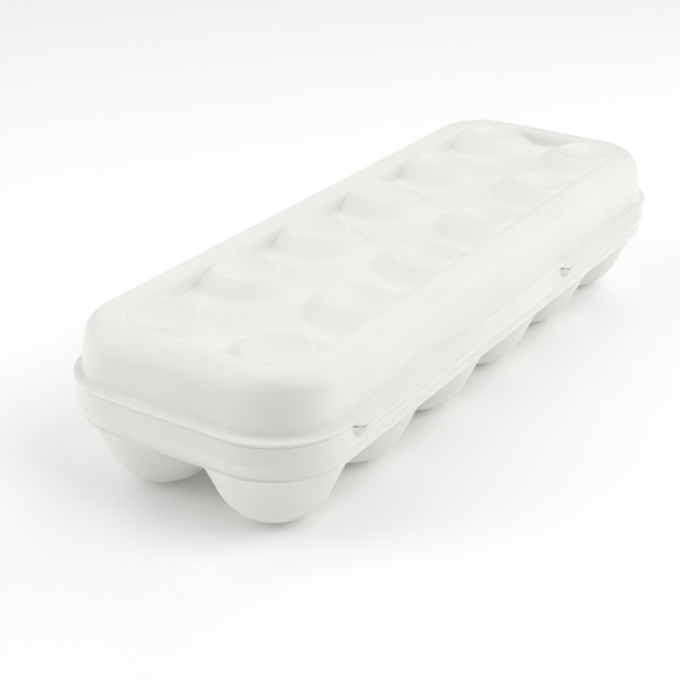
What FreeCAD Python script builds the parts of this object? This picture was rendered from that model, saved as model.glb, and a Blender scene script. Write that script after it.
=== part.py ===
import FreeCAD, Part
import Sketcher
import math
import os

# Egg storage box for twelve eggs: a stepped rim, twelve round cups, a lid that folds on two living hinges,
# and a snap clasp on the front. Lengths are in millimetres. X runs along the box, the hinges are on the
# -Y side, the clasp is on the +Y side, and Z is the height above the table.

SIZES = {
    # Outline of the whole box, at the bead where lid and base meet
    "box_length": 300,
    "box_width": 110,
    "box_height": 65,
    "corner_radius": 29.5,
    "lid_height": 21.8,
    "seam_gap": 0.3,
    # Base rim: an upper band, a step, and a lower band that tapers down to the cups
    "upper_band_height": 7.5,
    "band_step": 0.7,
    "lower_band_taper": 2,
    "upper_wall": 2,
    "lower_wall": 1.4,
    "band_round": 0.8,
    "shoulder": 1.5,
    # Egg cups: round bottoms, and cones that run out to the band and into one another
    "floor_below_seam": 14,
    "floor_thickness": 1.5,
    "cup_end_inset": 30,
    "cup_side_inset": 30.8,
    "cup_spacing": 3,
    "cup_flare": 5.7,
    "cup_foot_radius": 4,
    "cup_wall": 1.4,
    "cup_mouth_wall": 2.3,
    # Lid: bead, sloping wall, rounded top edge
    "bead_height": 2.4,
    "bead_round": 1,
    "bead_hollow": 1.4,
    "lid_wall_inset": 2,
    "lid_top_inset": 7.5,
    "lid_top_corner_radius": 22,
    "lid_edge_radius": 6.5,
    "lid_wall": 1.5,
    # Sunken panel in the top of the lid, shifted towards the hinges together with its bosses
    "panel_end_border": 17.5,
    "panel_side_border": 17.3,
    "relief_shift": 2.3,
    "panel_depth": 4,
    "panel_taper": 1.5,
    "panel_corner_radius": 14,
    # Raised bosses with dished tops, over the cups
    "boss_spacing": 5,
    "boss_flank": 8,
    "dish_border": 1.5,
    "dish_depth": 2,
    # Lip of the lid that centres it inside the rim
    "lip_depth": 3,
    "lip_thickness": 1.2,
    "lip_clearance": 0.4,
    # Living hinges: curved leaves on the base and the lid, ramped at their ends, and a thin web between
    "hinge_end_inset": 31.5,
    "hinge_gap": 77,
    "hinge_reach": 2.4,
    "hinge_leaf": 1.2,
    "hinge_root": 0.5,
    "hinge_ramp": 4.7,
    "hinge_below_seam": 1.6,
    "web_thickness": 0.4,
    "web_height": 1,
    # Clasp on the front: a tongue with a hook, on a thin web of its own
    "clasp_width": 34,
    "clasp_drop": 8,
    "clasp_rise": 1.8,
    "clasp_gap": 1,
    "clasp_thickness": 1.4,
    "clasp_round": 4,
    "hook_reach": 0.4,
    "hook_height": 1.4,
    "hook_above_end": 1.4,
    "catch_reach": 0.5,
    "catch_height": 1.2,
    "catch_above_hook": 0.5,
    # Cuts run this far past the faces that they open
    "overrun": 5,
}
CUP_COLUMNS = 6
CUP_ROWS = 2
FULL_TURN = 360
# A point counts as being on a face within this share of the overrun
TOLERANCE_SHARE = 1e-4

doc = FreeCAD.newDocument("EggStorageBox")
sheet = doc.addObject("Spreadsheet::Sheet", "Sizes")
for row_number, (alias, size) in enumerate(SIZES.items(), start=1):
    sheet.set(f"A{row_number}", alias)
    sheet.set(f"B{row_number}", str(size))
    sheet.setAlias(f"B{row_number}", alias)
doc.recompute()

# Heights and insets that several pieces share, as expressions on the sheet
SEAM_HEIGHT = "(Sizes.box_height - Sizes.lid_height)"
RIM_TOP = f"({SEAM_HEIGHT} - Sizes.seam_gap)"
STEP_HEIGHT = f"({RIM_TOP} - Sizes.upper_band_height)"
FLOOR_HEIGHT = f"({SEAM_HEIGHT} - Sizes.floor_below_seam)"
FLOOR_TOP = f"({FLOOR_HEIGHT} + Sizes.floor_thickness)"
CUP_PITCH_LENGTH = f"((Sizes.box_length - 2 * Sizes.cup_end_inset) / {CUP_COLUMNS - 1})"
CUP_PITCH_WIDTH = f"((Sizes.box_width - 2 * Sizes.cup_side_inset) / {CUP_ROWS - 1})"
CELL = f"min({CUP_PITCH_LENGTH}; {CUP_PITCH_WIDTH})"
CUP_BOWL_RADIUS = f"(({CELL} - Sizes.cup_spacing) / 2)"
CUP_MOUTH_RADIUS = f"({CUP_BOWL_RADIUS} + Sizes.cup_flare)"
BOSS_BASE_RADIUS = f"(({CELL} - Sizes.boss_spacing) / 2)"
BOSS_TOP_RADIUS = f"({BOSS_BASE_RADIUS} - Sizes.boss_flank)"
DISH_RADIUS = f"({BOSS_TOP_RADIUS} - Sizes.dish_border)"
LOWER_INSET = "(Sizes.band_step + Sizes.lower_band_taper)"
TRAY_INSET = f"({LOWER_INSET} + Sizes.lower_wall)"
BEAD_TOP = f"({SEAM_HEIGHT} + Sizes.bead_height)"
LID_SLOPE = f"((Sizes.lid_top_inset - Sizes.lid_wall_inset) / (Sizes.box_height - {BEAD_TOP}))"
PANEL_FLOOR = "(Sizes.box_height - Sizes.panel_depth)"
PANEL_UNDERSIDE = f"({PANEL_FLOOR} - Sizes.lid_wall)"
CEILING = "(Sizes.box_height - Sizes.lid_wall)"
LIP_INSET = "(Sizes.upper_wall + Sizes.lip_clearance)"
HINGE_AXIS_Y = "(-Sizes.box_width / 2 - Sizes.hinge_reach)"
HINGE_AXIS_Z = f"({SEAM_HEIGHT} - Sizes.hinge_below_seam)"
HINGE_LENGTH = "(Sizes.box_length / 2 - Sizes.hinge_end_inset - Sizes.hinge_gap / 2)"
HINGE_MIDDLE = f"(({HINGE_LENGTH} + Sizes.hinge_gap) / 2)"
LEAF_RADIUS = f"({BEAD_TOP} - {HINGE_AXIS_Z} - Sizes.web_height / 2)"
CLASP_AXIS_Z = f"({SEAM_HEIGHT} + Sizes.bead_height / 2)"
CLASP_INNER_Y = "(Sizes.box_width / 2 + Sizes.clasp_gap)"
CLASP_END_Z = f"({CLASP_AXIS_Z} - Sizes.clasp_drop)"
HOOK_TOP = f"({CLASP_END_Z} + Sizes.hook_above_end + Sizes.hook_height)"
CATCH_BOTTOM = f"({HOOK_TOP} + Sizes.catch_above_hook)"


def value(expression):
    """The number that an expression on the sheet comes to."""
    return float(sheet.evalExpression(expression))


def tolerance():
    return value("Sizes.overrun") * TOLERANCE_SHARE


def new_body(label):
    body = doc.addObject("PartDesign::Body", label)
    body.Label = label
    return body


def origin_feature(body, role):
    return [feature for feature in body.Origin.OriginFeatures if feature.Role == role][0]


def new_sketch(body, name, plane, **offsets):
    """A sketch on one of the body's own origin planes, moved along the plane's axes by expressions."""
    sketch = body.newObject("Sketcher::SketchObject", name)
    sketch.AttachmentSupport = (origin_feature(body, plane), "")
    sketch.MapMode = "FlatFace"
    for axis, expression in offsets.items():
        sketch.setExpression(f"AttachmentOffset.Base.{axis}", expression)
    return sketch


def bind(sketch, expression, kind, *where):
    """Adds a dimension whose size follows an expression."""
    index = sketch.addConstraint(Sketcher.Constraint(kind, *where, value(expression)))
    sketch.setExpression(f"Constraints[{index}]", expression)


def relate(sketch, kind, *where):
    sketch.addConstraint(Sketcher.Constraint(kind, *where))


def fix_point(sketch, geometry, end, across, up):
    """Holds a point at its distances from the sketch's origin; zero puts it on the axis."""
    for expression, kind, axis in ((across, "DistanceX", -2), (up, "DistanceY", -1)):
        if expression == "0":
            relate(sketch, "PointOnObject", geometry, end, axis)
        else:
            bind(sketch, expression, kind, -1, 1, geometry, end)


def polygon(sketch, corners):
    """A closed outline of straight lines through corners given as pairs of expressions."""
    points = [FreeCAD.Vector(value(across), value(up), 0) for across, up in corners]
    lines = []
    for start, end in zip(points, points[1:] + points[:1]):
        lines.append(sketch.addGeometry(Part.LineSegment(start, end)))
    for line, following in zip(lines, lines[1:] + lines[:1]):
        relate(sketch, "Coincident", line, 2, following, 1)
    for line, (across, up) in zip(lines, corners):
        fix_point(sketch, line, 1, across, up)


def rounded_rectangle(sketch, length, width, radius, shift="0"):
    """A rectangle with round corners, centred on the sketch's upright axis and moved down it by a shift."""
    reach, side, bend = value(length) / 2, value(width) / 2, value(radius)
    drop = FreeCAD.Vector(0, value(shift), 0)
    inner_reach, inner_side = reach - bend, side - bend
    ends = (
        ((-inner_reach, -side), (inner_reach, -side)),
        ((reach, -inner_side), (reach, inner_side)),
        ((inner_reach, side), (-inner_reach, side)),
        ((-reach, inner_side), (-reach, -inner_side)),
    )
    lines = []
    for start, end in ends:
        line = Part.LineSegment(FreeCAD.Vector(*start) - drop, FreeCAD.Vector(*end) - drop)
        lines.append(sketch.addGeometry(line))
    corners = ((inner_reach, -inner_side), (inner_reach, inner_side),
               (-inner_reach, inner_side), (-inner_reach, -inner_side))
    arcs = []
    for quarter, corner in enumerate(corners):
        circle = Part.Circle(FreeCAD.Vector(*corner) - drop, FreeCAD.Vector(0, 0, 1), bend)
        start_angle = (quarter - 1) * math.pi / 2
        arcs.append(sketch.addGeometry(Part.ArcOfCircle(circle, start_angle, start_angle + math.pi / 2)))
    for line, arc, following in zip(lines, arcs, lines[1:] + lines[:1]):
        relate(sketch, "Tangent", line, 2, arc, 1)
        relate(sketch, "Tangent", arc, 2, following, 1)
    for line, kind in zip(lines, ("Horizontal", "Vertical", "Horizontal", "Vertical")):
        relate(sketch, kind, line)
    for arc, following in zip(arcs, arcs[1:]):
        relate(sketch, "Equal", arc, following)
    if shift == "0":
        relate(sketch, "Symmetric", arcs[0], 3, arcs[2], 3, -1, 1)
    else:
        bind(sketch, f"({length}) / 2", "DistanceX", -1, 1, lines[1], 1)
        bind(sketch, f"-({width}) / 2 - {shift}", "DistanceY", -1, 1, lines[0], 1)
    bind(sketch, radius, "Radius", arcs[0])
    bind(sketch, length, "DistanceX", lines[3], 1, lines[1], 1)
    bind(sketch, width, "DistanceY", lines[0], 1, lines[2], 1)


def inset_outline(body, name, height, inset, radius):
    """The box's outline drawn in by an inset, as a sketch at a height."""
    sketch = new_sketch(body, name, "XY_Plane", z=height)
    length = f"Sizes.box_length - 2 * ({inset})"
    width = f"Sizes.box_width - 2 * ({inset})"
    rounded_rectangle(sketch, length, width, radius)
    return sketch


def extrude(body, kind, name, sketch, length, both_ways=False, backwards=False):
    feature = body.newObject(f"PartDesign::{kind}", name)
    feature.Profile = sketch
    feature.setExpression("Length", length)
    feature.Midplane = both_ways
    feature.Reversed = backwards
    return feature


def turn(body, kind, name, sketch):
    """A full turn of a half profile about the sketch's upright axis."""
    feature = body.newObject(f"PartDesign::{kind}", name)
    feature.Profile = sketch
    feature.ReferenceAxis = (sketch, ["V_Axis"])
    feature.Angle = FULL_TURN
    return feature


def loft(body, kind, name, sketches):
    """Straight walls from each outline to the next."""
    feature = body.newObject(f"PartDesign::{kind}", name)
    feature.Profile = sketches[0]
    feature.Sections = sketches[1:]
    feature.Ruled = True
    return feature


def over_the_cups(body, name, original):
    """Repeats a feature of the first cup over all columns and rows."""
    pattern = body.newObject("PartDesign::LinearPattern", name)
    pattern.Originals = [original]
    pattern.Direction = (origin_feature(body, "X_Axis"), [""])
    pattern.Mode = "Spacing"
    pattern.Occurrences = CUP_COLUMNS
    pattern.setExpression("Offset", CUP_PITCH_LENGTH)
    pattern.Direction2 = (origin_feature(body, "Y_Axis"), [""])
    pattern.Mode2 = "Extent"
    pattern.Occurrences2 = CUP_ROWS
    pattern.setExpression("Length2", f"{CUP_ROWS - 1} * {CUP_PITCH_WIDTH}")
    body.Tip = pattern
    return pattern


def mirror_ends(body, name, original):
    """Repeats a feature at the other end of the box."""
    mirrored = body.newObject("PartDesign::Mirrored", name)
    mirrored.Originals = [original]
    mirrored.MirrorPlane = (origin_feature(body, "YZ_Plane"), [""])
    body.Tip = mirrored
    return mirrored


def round_edges(body, name, base, radius, chosen):
    """Rounds the edges of a feature whose ends and middle all pass a test of place."""
    doc.recompute()
    names = []
    for index, edge in enumerate(base.Shape.Edges, start=1):
        middle = edge.valueAt((edge.FirstParameter + edge.LastParameter) / 2)
        points = [middle] + [vertex.Point for vertex in edge.Vertexes]
        if all(chosen(point) for point in points):
            names.append(f"Edge{index}")
    fillet = body.newObject("PartDesign::Fillet", name)
    fillet.Base = (base, names)
    fillet.setExpression("Radius", radius)
    return fillet


def on_outline(height, inset):
    """A test for points at a height on the box's outline, drawn in by an inset."""
    margin = tolerance()
    reach = value("Sizes.box_length") / 2 - inset
    side = value("Sizes.box_width") / 2 - inset
    bend = value("Sizes.corner_radius") - inset

    def chosen(point):
        across = max(abs(point.x) - (reach - bend), 0)
        along = max(abs(point.y) - (side - bend), 0)
        return abs(point.z - height) < margin and abs(math.hypot(across, along) - bend) < margin

    return chosen


def hinge_leaf(body, name, upwards):
    """A quarter of a tube that curls from the bead or the rim out to the fold, for one hinge strip."""
    side = 1 if upwards else -1
    sign = "+" if upwards else "-"
    sketch = new_sketch(body, f"{name}_profile", "YZ_Plane", z=f"-{HINGE_MIDDLE}")
    edge_z = f"({HINGE_AXIS_Z} {sign} Sizes.web_height / 2)"
    center_y = f"({HINGE_AXIS_Y} + {LEAF_RADIUS})"
    root_y = f"({center_y} + Sizes.hinge_root)"
    inner_radius = f"({LEAF_RADIUS} - Sizes.hinge_leaf)"
    center = FreeCAD.Vector(value(center_y), value(edge_z), 0)
    outer, inner, root = value(LEAF_RADIUS), value(inner_radius), value(root_y)
    up, out = FreeCAD.Vector(0, side, 0), FreeCAD.Vector(-1, 0, 0)
    root_shift = FreeCAD.Vector(root - center.x, 0, 0)
    ring = []
    for radius in (outer, inner):
        crown = center + up * radius
        shoulder = center + (up + out) * (radius * math.cos(math.pi / 4))
        ring.append(sketch.addGeometry(Part.Arc(crown, shoulder, center + out * radius)))
    outer_arc, inner_arc = ring
    crown_end, fold_end = (1, 2) if upwards else (2, 1)
    top = sketch.addGeometry(Part.LineSegment(center + up * outer + root_shift, center + up * outer))
    fold = sketch.addGeometry(Part.LineSegment(center + out * outer, center + out * inner))
    bottom = sketch.addGeometry(Part.LineSegment(center + up * inner, center + up * inner + root_shift))
    back = sketch.addGeometry(
        Part.LineSegment(center + up * inner + root_shift, center + up * outer + root_shift))
    relate(sketch, "Tangent", top, 2, outer_arc, crown_end)
    relate(sketch, "Coincident", outer_arc, fold_end, fold, 1)
    relate(sketch, "Coincident", fold, 2, inner_arc, fold_end)
    relate(sketch, "Tangent", inner_arc, crown_end, bottom, 1)
    relate(sketch, "Coincident", bottom, 2, back, 1)
    relate(sketch, "Coincident", back, 2, top, 1)
    relate(sketch, "Horizontal", top)
    relate(sketch, "Horizontal", bottom)
    relate(sketch, "Horizontal", fold)
    relate(sketch, "Vertical", back)
    relate(sketch, "Coincident", outer_arc, 3, inner_arc, 3)
    relate(sketch, "PointOnObject", outer_arc, 3, fold)
    fix_point(sketch, outer_arc, 3, center_y, edge_z)
    bind(sketch, LEAF_RADIUS, "Radius", outer_arc)
    bind(sketch, inner_radius, "Radius", inner_arc)
    bind(sketch, root_y, "DistanceX", -1, 1, back, 1)
    leaf = extrude(body, "Pad", name, sketch, HINGE_LENGTH, both_ways=True)
    mirror_ends(body, f"{name}_pair", leaf)
    for end_name, end in (("outer_end", -1), ("inner_end", 1)):
        leaf_end(body, f"{name}_{end_name}", upwards, end)
        leaf_ramp(body, f"{name}_{end_name}_ramp", end)


def leaf_end(body, name, upwards, end):
    """A block that closes one end of a leaf, from the fold to the box, and keeps clear of the rim."""
    sign = "+" if upwards else "-"
    crown_end, fold_end = (1, 2) if upwards else (2, 1)
    edge_z = f"({HINGE_AXIS_Z} {sign} Sizes.web_height / 2)"
    crown_z = f"({edge_z} {sign} {LEAF_RADIUS})"
    center_y = f"({HINGE_AXIS_Y} + {LEAF_RADIUS})"
    clear_y = "(-Sizes.box_width / 2 - Sizes.seam_gap)"
    clear_of_rim = [(clear_y, edge_z), (clear_y, SEAM_HEIGHT), (center_y, SEAM_HEIGHT)]
    corners = [(HINGE_AXIS_Y, edge_z)]
    corners += clear_of_rim if upwards else [(center_y, edge_z)]
    corners.append((center_y, crown_z))
    points = [FreeCAD.Vector(value(across), value(up), 0) for across, up in corners]
    place = f"-{HINGE_MIDDLE} + {end} * ({HINGE_LENGTH} - Sizes.hinge_ramp) / 2"
    sketch = new_sketch(body, f"{name}_profile", "YZ_Plane", z=place)
    lines = []
    for start, finish, corner in zip(points, points[1:], corners):
        lines.append(sketch.addGeometry(Part.LineSegment(start, finish)))
        fix_point(sketch, lines[-1], 1, *corner)
    fix_point(sketch, lines[-1], 2, *corners[-1])
    for line, following in zip(lines, lines[1:]):
        relate(sketch, "Coincident", line, 2, following, 1)
    middle = FreeCAD.Vector(value(center_y), value(edge_z), 0)
    towards = (points[0] + points[-1]) / 2 - middle
    shoulder = middle + towards.normalize() * value(LEAF_RADIUS)
    arc = sketch.addGeometry(Part.Arc(points[-1], shoulder, points[0]))
    relate(sketch, "Coincident", lines[-1], 2, arc, crown_end)
    relate(sketch, "Coincident", arc, fold_end, lines[0], 1)
    bind(sketch, LEAF_RADIUS, "Radius", arc)
    block = extrude(body, "Pad", name, sketch, "Sizes.hinge_ramp", both_ways=True)
    mirror_ends(body, f"{name}_pair", block)


def leaf_ramp(body, name, end):
    """Cuts the end of a leaf to a ramp that runs from the box's side out to the fold."""
    start_x = f"(-{HINGE_MIDDLE} + {end} * {HINGE_LENGTH} / 2)"
    fold_x = f"({start_x} - {end} * Sizes.hinge_ramp)"
    beyond_x = f"({start_x} + {end} * Sizes.overrun)"
    side_y = "(-Sizes.box_width / 2 - Sizes.seam_gap)"
    beyond_y = f"({HINGE_AXIS_Y} - Sizes.overrun)"
    sketch = new_sketch(body, f"{name}_outline", "XY_Plane")
    polygon(sketch, ((start_x, side_y), (fold_x, HINGE_AXIS_Y), (fold_x, beyond_y), (beyond_x, beyond_y),
                     (beyond_x, side_y)))
    cut = extrude(body, "Pocket", name, sketch, "Sizes.box_height", backwards=True)
    mirror_ends(body, f"{name}_pair", cut)


def bowl_profile(sketch, mouth_height, mouth_radius, bowl_radius, bottom_height, bowl_center):
    """Half a bowl: a flat bottom, a round belly about a point on the axis, and a cone up to the mouth."""
    center = FreeCAD.Vector(0, value(bowl_center), 0)
    belly = value(bowl_radius)
    bottom = value(bottom_height)
    mouth = FreeCAD.Vector(value(mouth_radius), value(mouth_height), 0)
    foot = FreeCAD.Vector(math.sqrt(belly ** 2 - (center.y - bottom) ** 2), bottom, 0)
    # The wall leaves the belly where it is square to the belly's radius
    to_mouth = mouth - center
    tangent_angle = math.atan2(to_mouth.y, to_mouth.x) - math.acos(belly / to_mouth.Length)
    shoulder = center + FreeCAD.Vector(math.cos(tangent_angle), math.sin(tangent_angle), 0) * belly
    foot_angle = math.atan2(foot.y - center.y, foot.x)
    circle = Part.Circle(center, FreeCAD.Vector(0, 0, 1), belly)
    axis_bottom = FreeCAD.Vector(0, bottom, 0)
    axis_top = FreeCAD.Vector(0, mouth.y, 0)
    floor = sketch.addGeometry(Part.LineSegment(axis_bottom, foot))
    round_belly = sketch.addGeometry(Part.ArcOfCircle(circle, foot_angle, tangent_angle))
    wall = sketch.addGeometry(Part.LineSegment(shoulder, mouth))
    top = sketch.addGeometry(Part.LineSegment(mouth, axis_top))
    axis = sketch.addGeometry(Part.LineSegment(axis_top, axis_bottom))
    relate(sketch, "Coincident", floor, 2, round_belly, 1)
    relate(sketch, "Tangent", round_belly, 2, wall, 1)
    relate(sketch, "Coincident", wall, 2, top, 1)
    relate(sketch, "Coincident", top, 2, axis, 1)
    relate(sketch, "Coincident", axis, 2, floor, 1)
    relate(sketch, "Horizontal", floor)
    relate(sketch, "Horizontal", top)
    relate(sketch, "PointOnObject", top, 2, -2)
    fix_point(sketch, floor, 1, "0", bottom_height)
    fix_point(sketch, round_belly, 3, "0", bowl_center)
    fix_point(sketch, wall, 2, mouth_radius, mouth_height)
    bind(sketch, bowl_radius, "Radius", round_belly)


def grid_line(number, count, pitch, span):
    """Where a line between the cups lies; the first and the last line are the sides of the box."""
    if number in (0, count):
        side = -1 if number == 0 else 1
        return f"{side} * {span} / 2"
    if 2 * number == count:
        return "0"
    return f"{number - count / 2} * {pitch}"


def make_egg_cup(label, column, row):
    """One cup with its part of the tray's floor, cut to the tray's outline and to its cell of the grid."""
    body = new_body(label)
    floor = inset_outline(body, f"{label}_floor_outline", FLOOR_HEIGHT, LOWER_INSET,
                          f"Sizes.corner_radius - {LOWER_INSET}")
    extrude(body, "Pad", f"{label}_floor", floor, "Sizes.floor_thickness")
    place = {"x": f"{column - (CUP_COLUMNS - 1) / 2} * {CUP_PITCH_LENGTH}",
             "z": f"{(CUP_ROWS - 1) / 2 - row} * {CUP_PITCH_WIDTH}"}
    bowl_center = f"sqrt({CUP_BOWL_RADIUS} ^ 2 - Sizes.cup_foot_radius ^ 2)"
    outside = new_sketch(body, f"{label}_outside", "XZ_Plane", **place)
    bowl_profile(outside, FLOOR_HEIGHT, CUP_MOUTH_RADIUS, CUP_BOWL_RADIUS, "0",
                 bowl_center)
    turn(body, "Revolution", f"{label}_bowl", outside)
    inside = new_sketch(body, f"{label}_inside", "XZ_Plane", **place)
    bowl_profile(inside, FLOOR_TOP, f"({CUP_MOUTH_RADIUS} - Sizes.cup_mouth_wall)",
                 f"({CUP_BOWL_RADIUS} - Sizes.cup_wall)", "Sizes.cup_wall", bowl_center)
    turn(body, "Groove", f"{label}_hollow", inside)
    low_x, high_x = (grid_line(column + step, CUP_COLUMNS, CUP_PITCH_LENGTH, "Sizes.box_length")
                     for step in (0, 1))
    low_y, high_y = (grid_line(row + step, CUP_ROWS, CUP_PITCH_WIDTH, "Sizes.box_width")
                     for step in (0, 1))
    outline_trim = surround(body, f"{label}_outline_trim")
    rounded_rectangle(outline_trim, f"Sizes.box_length - 2 * {LOWER_INSET}",
                      f"Sizes.box_width - 2 * {LOWER_INSET}", f"Sizes.corner_radius - {LOWER_INSET}")
    cell_trim = surround(body, f"{label}_cell_trim")
    polygon(cell_trim, ((low_x, low_y), (high_x, low_y), (high_x, high_y), (low_x, high_y)))
    for trim in (outline_trim, cell_trim):
        extrude(body, "Pocket", f"{trim.Name}_cut", trim, f"{FLOOR_TOP} + Sizes.overrun", backwards=True)
    return body


def surround(body, name):
    """A sketch on the table with a rectangle outside the whole box, the outer edge of a cut around a cell."""
    sketch = new_sketch(body, name, "XY_Plane")
    reach = "(Sizes.box_length / 2 + Sizes.overrun)"
    side = "(Sizes.box_width / 2 + Sizes.overrun)"
    polygon(sketch, ((f"-{reach}", f"-{side}"), (reach, f"-{side}"), (reach, side), (f"-{reach}", side)))
    return sketch


def make_base_rim():
    """The stepped band round the base, open below, that stands on the edge of the cups' floor."""
    body = new_body("base_rim")
    outer_radius = "Sizes.corner_radius"
    upper = inset_outline(body, "upper_band_outline", STEP_HEIGHT, "0", outer_radius)
    upper_band = extrude(body, "Pad", "upper_band", upper, "Sizes.upper_band_height")
    round_edges(body, "band_edge", upper_band, "Sizes.band_round", on_outline(value(STEP_HEIGHT), 0))
    lower_sections = []
    for name, height, inset in (("lower_band_top", STEP_HEIGHT, "Sizes.band_step"),
                                ("lower_band_bottom", FLOOR_TOP, LOWER_INSET)):
        lower_sections.append(inset_outline(body, name, height, inset, f"{outer_radius} - {inset}"))
    loft(body, "AdditiveLoft", "lower_band", lower_sections)
    shoulder_height = f"({STEP_HEIGHT} + Sizes.shoulder)"
    mouth = inset_outline(body, "mouth_outline", shoulder_height, "Sizes.upper_wall",
                          f"{outer_radius} - Sizes.upper_wall")
    extrude(body, "Pocket", "mouth", mouth, f"{RIM_TOP} - {shoulder_height} + Sizes.overrun", backwards=True)
    tray = inset_outline(body, "tray_outline", FLOOR_HEIGHT, TRAY_INSET,
                         f"{outer_radius} - {TRAY_INSET}")
    extrude(body, "Pocket", "tray", tray, f"{shoulder_height} - {FLOOR_HEIGHT} + Sizes.overrun",
            backwards=True)
    hinge_leaf(body, "base_leaf", upwards=False)
    make_catch(body)
    return body


def make_catch(body):
    """The rib on the front of the rim that the clasp's hook passes under."""
    face_y = "(Sizes.box_width / 2)"
    root_y = f"({face_y} - Sizes.upper_wall / 2)"
    tip_y = f"({face_y} + Sizes.catch_reach)"
    top_z = f"({CATCH_BOTTOM} + Sizes.catch_height)"
    profile = new_sketch(body, "catch_profile", "YZ_Plane")
    polygon(profile, ((root_y, CATCH_BOTTOM), (tip_y, CATCH_BOTTOM), (face_y, top_z), (root_y, top_z)))
    extrude(body, "Pad", "catch", profile, "Sizes.clasp_width", both_ways=True)


def make_lid():
    """A thin shell: bead, sloping walls, rounded top edge, sunken panel, and bosses over the cups."""
    body = new_body("lid")
    bead_outline = inset_outline(body, "bead_outline", SEAM_HEIGHT, "0", "Sizes.corner_radius")
    bead = extrude(body, "Pad", "bead", bead_outline, "Sizes.bead_height")
    at_bottom = on_outline(value(SEAM_HEIGHT), 0)
    at_top = on_outline(value(BEAD_TOP), 0)
    round_edges(body, "bead_edges", bead, "Sizes.bead_round", lambda point: at_bottom(point) or at_top(point))
    wall_radius = "Sizes.corner_radius - Sizes.lid_wall_inset"
    wall_bottom = inset_outline(body, "wall_bottom", BEAD_TOP, "Sizes.lid_wall_inset", wall_radius)
    wall_top = inset_outline(body, "wall_top", "Sizes.box_height", "Sizes.lid_top_inset",
                             "Sizes.lid_top_corner_radius")
    wall = loft(body, "AdditiveLoft", "wall", [wall_bottom, wall_top])
    top_height = value("Sizes.box_height")
    margin = tolerance()
    crown = round_edges(body, "top_edge", wall, "Sizes.lid_edge_radius",
                        lambda point: abs(point.z - top_height) < margin)
    round_edges(body, "bead_hollow_edge", crown, "Sizes.bead_hollow",
                on_outline(value(BEAD_TOP), value("Sizes.lid_wall_inset")))
    make_panel(body)
    place = {"x": f"-{(CUP_COLUMNS - 1) / 2} * {CUP_PITCH_LENGTH}",
             "z": f"{(CUP_ROWS - 1) / 2} * {CUP_PITCH_WIDTH} + Sizes.relief_shift"}
    make_bosses(body, place)
    hollow_lid(body)
    hollow_bosses(body, place)
    make_lip(body)
    hinge_leaf(body, "lid_leaf", upwards=True)
    return body


def panel_outline(sketch, inset):
    """The outline of the sunken panel at the top of the lid, drawn in by an inset."""
    rounded_rectangle(sketch, f"Sizes.box_length - 2 * (Sizes.panel_end_border + {inset})",
                      f"Sizes.box_width - 2 * (Sizes.panel_side_border + {inset})",
                      f"Sizes.panel_corner_radius - {inset}", "Sizes.relief_shift")


def make_panel(body):
    """The sunken panel, cut from above with sloping walls."""
    sections = []
    for name, height, inset in (("panel_edge", "Sizes.box_height", "0"),
                                ("panel_floor", PANEL_FLOOR, "Sizes.panel_taper")):
        sketch = new_sketch(body, name, "XY_Plane", z=height)
        panel_outline(sketch, inset)
        sections.append(sketch)
    loft(body, "SubtractiveLoft", "panel", sections)


def hollow_lid(body):
    """Takes out the inside of the lid up to the panel, then a gallery round the panel under the edge."""
    wall_inset = "(Sizes.lid_wall_inset + Sizes.lid_wall)"
    low_inset = f"({wall_inset} - {LID_SLOPE} * Sizes.bead_height)"
    high_inset = f"({wall_inset} + {LID_SLOPE} * ({PANEL_UNDERSIDE} - {BEAD_TOP}))"
    ceiling_inset = "(Sizes.lid_top_inset + Sizes.lid_edge_radius / 2)"
    sections = []
    for name, height, inset in (("hollow_bottom", SEAM_HEIGHT, low_inset),
                                ("hollow_top", PANEL_UNDERSIDE, high_inset)):
        sections.append(inset_outline(body, name, height, inset, f"Sizes.corner_radius - {inset}"))
    loft(body, "SubtractiveLoft", "hollow", sections)
    panel_slope = "Sizes.panel_taper / Sizes.panel_depth"
    rings = []
    for name, height, inset in (("gallery_bottom", PANEL_UNDERSIDE, high_inset),
                                ("gallery_top", CEILING, ceiling_inset)):
        ring = inset_outline(body, name, height, inset, f"Sizes.corner_radius - {inset}")
        panel_outline(ring, f"({panel_slope} * (Sizes.box_height - {height}) - Sizes.lid_wall)")
        rings.append(ring)
    loft(body, "SubtractiveLoft", "gallery", rings)


def make_bosses(body, place):
    """Bosses over the cups: a cone with a shallow round dish on top."""
    profile = new_sketch(body, "boss_profile", "XZ_Plane", **place)
    polygon(profile, (("0", PANEL_UNDERSIDE), (BOSS_BASE_RADIUS, PANEL_UNDERSIDE),
                      (BOSS_BASE_RADIUS, PANEL_FLOOR),
                      (BOSS_TOP_RADIUS, "Sizes.box_height"), ("0", "Sizes.box_height")))
    boss = turn(body, "Revolution", "boss", profile)
    over_the_cups(body, "bosses", boss)
    dish = turn(body, "Groove", "dish", dish_profile(body, place))
    over_the_cups(body, "dishes", dish)


def hollow_bosses(body, place):
    """Takes out the inside of each boss, parallel to its flank and below its dish."""
    flank = "(Sizes.boss_flank / Sizes.panel_depth)"
    hollow_top = "(Sizes.box_height - Sizes.dish_depth - Sizes.lid_wall)"
    mouth_radius = f"({BOSS_BASE_RADIUS} - {flank} * Sizes.lid_wall)"
    top_radius = f"({mouth_radius} - {flank} * ({hollow_top} - {PANEL_UNDERSIDE}))"
    profile = new_sketch(body, "boss_hollow_profile", "XZ_Plane", **place)
    polygon(profile, (("0", PANEL_UNDERSIDE), (mouth_radius, PANEL_UNDERSIDE), (top_radius, hollow_top),
                      ("0", hollow_top)))
    boss_hollow = turn(body, "Groove", "boss_hollow", profile)
    over_the_cups(body, "boss_hollows", boss_hollow)


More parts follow.
